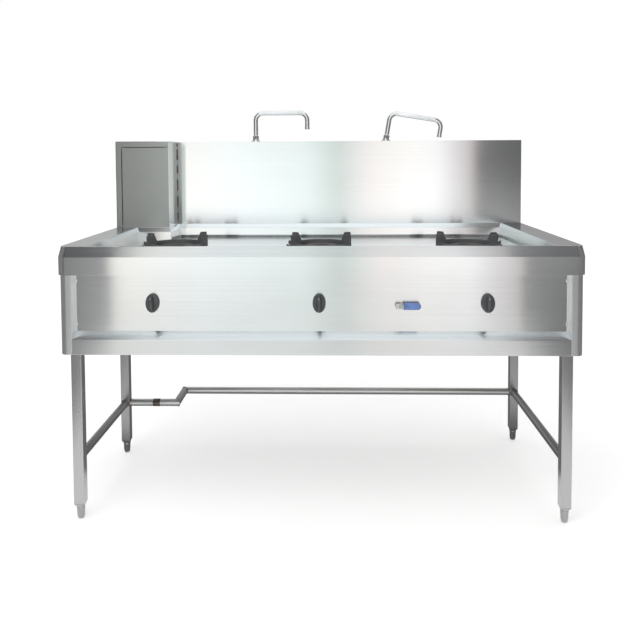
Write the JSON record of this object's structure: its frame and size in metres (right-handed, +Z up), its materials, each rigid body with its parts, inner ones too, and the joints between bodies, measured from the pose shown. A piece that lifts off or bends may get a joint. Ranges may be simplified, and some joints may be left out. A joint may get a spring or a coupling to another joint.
{
  "type": "wok range",
  "caption": "Gas wok range on an open stand: steel table with a sunken basin and ring grates, stepped splashback with swing spouts, control panel and screw feet.",
  "frame": {"origin": "on the floor under the middle of the range's bounding box", "axes": "+X to the cook's right, +Y from the cook to the wall, +Z up"},
  "size_m": [1.484, 0.75, 1.2245],
  "materials": {
    "sheet_steel": "brushed",
    "tube_steel": "satin",
    "structure_steel": "mill",
    "foot_steel": "satin",
    "screw_steel": "polished",
    "water_pipe_steel": "satin",
    "tap_chrome": "polished",
    "cast_iron": "rough cast",
    "brass": "machined",
    "stem_brass": "machined",
    "copper_pipe": "drawn",
    "painted_pipe": "gloss paint",
    "knob_black": "matt",
    "lever_blue": "vinyl dipped"
  },
  "bodies": {
    "frame": {"beam_front": "structure_steel", "beam_rear": "structure_steel", "bottom_rail": "sheet_steel", "burner_centre": "cast_iron", "burner_feed_pipes": "copper_pipe", "burner_left": "cast_iron", "burner_rails": "structure_steel", "burner_right": "cast_iron", "deck": "sheet_steel", "drain_gutter": "sheet_steel", "front_panel": "sheet_steel", "gas_cocks": "brass", "gas_manifold": "painted_pipe", "leg_front_left": "tube_steel", "leg_front_right": "tube_steel", "leg_inserts": "foot_steel", "leg_rear_left": "tube_steel", "leg_rear_right": "tube_steel", "manifold_brackets": "structure_steel", "notch_panel": "sheet_steel", "panel_screws": "screw_steel", "rear_panel": "sheet_steel", "rear_stretcher_link": "tube_steel", "rear_stretcher_long": "tube_steel", "rear_stretcher_short": "tube_steel", "rim_front": "sheet_steel", "rim_left": "sheet_steel", "rim_notch": "sheet_steel", "rim_rear": "sheet_steel", "rim_right": "sheet_steel", "side_panel_left": "sheet_steel", "side_panel_right": "sheet_steel", "side_stretcher_left": "tube_steel", "side_stretcher_right": "tube_steel", "splash_back": "sheet_steel", "splash_cap": "sheet_steel", "splash_end_left": "sheet_steel", "splash_end_right": "sheet_steel", "splash_left_panel": "sheet_steel", "splash_main": "sheet_steel", "splash_return": "sheet_steel", "spout_bases": "tap_chrome", "water_pipes": "water_pipe_steel", "water_valve": "brass"},
    "valve_lever": {"valve_lever": "lever_blue"},
    "knob_left": {"knob_left": "knob_black", "cock_stem_left": "stem_brass"},
    "grate_left": {"grate_left": "cast_iron"},
    "knob_centre": {"knob_centre": "knob_black", "cock_stem_centre": "stem_brass"},
    "grate_centre": {"grate_centre": "cast_iron"},
    "knob_right": {"knob_right": "knob_black", "cock_stem_right": "stem_brass"},
    "grate_right": {"grate_right": "cast_iron"},
    "spout_left": {"spout_left": "tap_chrome"},
    "spout_right": {"spout_right": "tap_chrome"},
    "foot_front_left": {"foot_front_left": "foot_steel"},
    "foot_front_right": {"foot_front_right": "foot_steel"},
    "foot_rear_left": {"foot_rear_left": "foot_steel"},
    "foot_rear_right": {"foot_rear_right": "foot_steel"}
  },
  "joints": [
    {"name": "knob_left_turn", "type": "hinge", "parent": "frame", "child": "knob_left", "pos_m": [-0.475, -0.35, 0.637], "axis": [0, -1, 0], "range_deg": [0, 90]},
    {"name": "knob_centre_turn", "type": "hinge", "parent": "frame", "child": "knob_centre", "pos_m": [0, -0.35, 0.637], "axis": [0, -1, 0], "range_deg": [0, 90]},
    {"name": "knob_right_turn", "type": "hinge", "parent": "frame", "child": "knob_right", "pos_m": [0.475, -0.35, 0.637], "axis": [0, -1, 0], "range_deg": [0, 90]},
    {"name": "valve_lever_turn", "type": "hinge", "parent": "frame", "child": "valve_lever", "pos_m": [0.232, -0.358, 0.63], "axis": [0, 1, 0], "range_deg": [0, 90]},
    {"name": "spout_left_swing", "type": "hinge", "parent": "frame", "child": "spout_left", "pos_m": [-0.253, 0.3425, 1.112], "axis": [0, 0, 1], "continuous": true},
    {"name": "spout_right_swing", "type": "hinge", "parent": "frame", "child": "spout_right", "pos_m": [0.239, 0.3425, 1.112], "axis": [0.165, 0, 0.9863], "continuous": true},
    {"name": "grate_left_lift", "type": "slide", "parent": "frame", "child": "grate_left", "axis": [0, 0, 1], "range_m": [0, 0.15]},
    {"name": "grate_centre_lift", "type": "slide", "parent": "frame", "child": "grate_centre", "axis": [0, 0, 1], "range_m": [0, 0.15]},
    {"name": "grate_right_lift", "type": "slide", "parent": "frame", "child": "grate_right", "axis": [0, 0, 1], "range_m": [0, 0.15]},
    {"name": "foot_front_left_screw", "type": "slide", "parent": "frame", "child": "foot_front_left", "axis": [0, 0, -1], "range_m": [0, 0.02]},
    {"name": "foot_front_right_screw", "type": "slide", "parent": "frame", "child": "foot_front_right", "axis": [0, 0, -1], "range_m": [0, 0.02]},
    {"name": "foot_rear_left_screw", "type": "slide", "parent": "frame", "child": "foot_rear_left", "axis": [0, 0, -1], "range_m": [0, 0.02]},
    {"name": "foot_rear_right_screw", "type": "slide", "parent": "frame", "child": "foot_rear_right", "axis": [0, 0, -1], "range_m": [0, 0.02]}
  ]
}
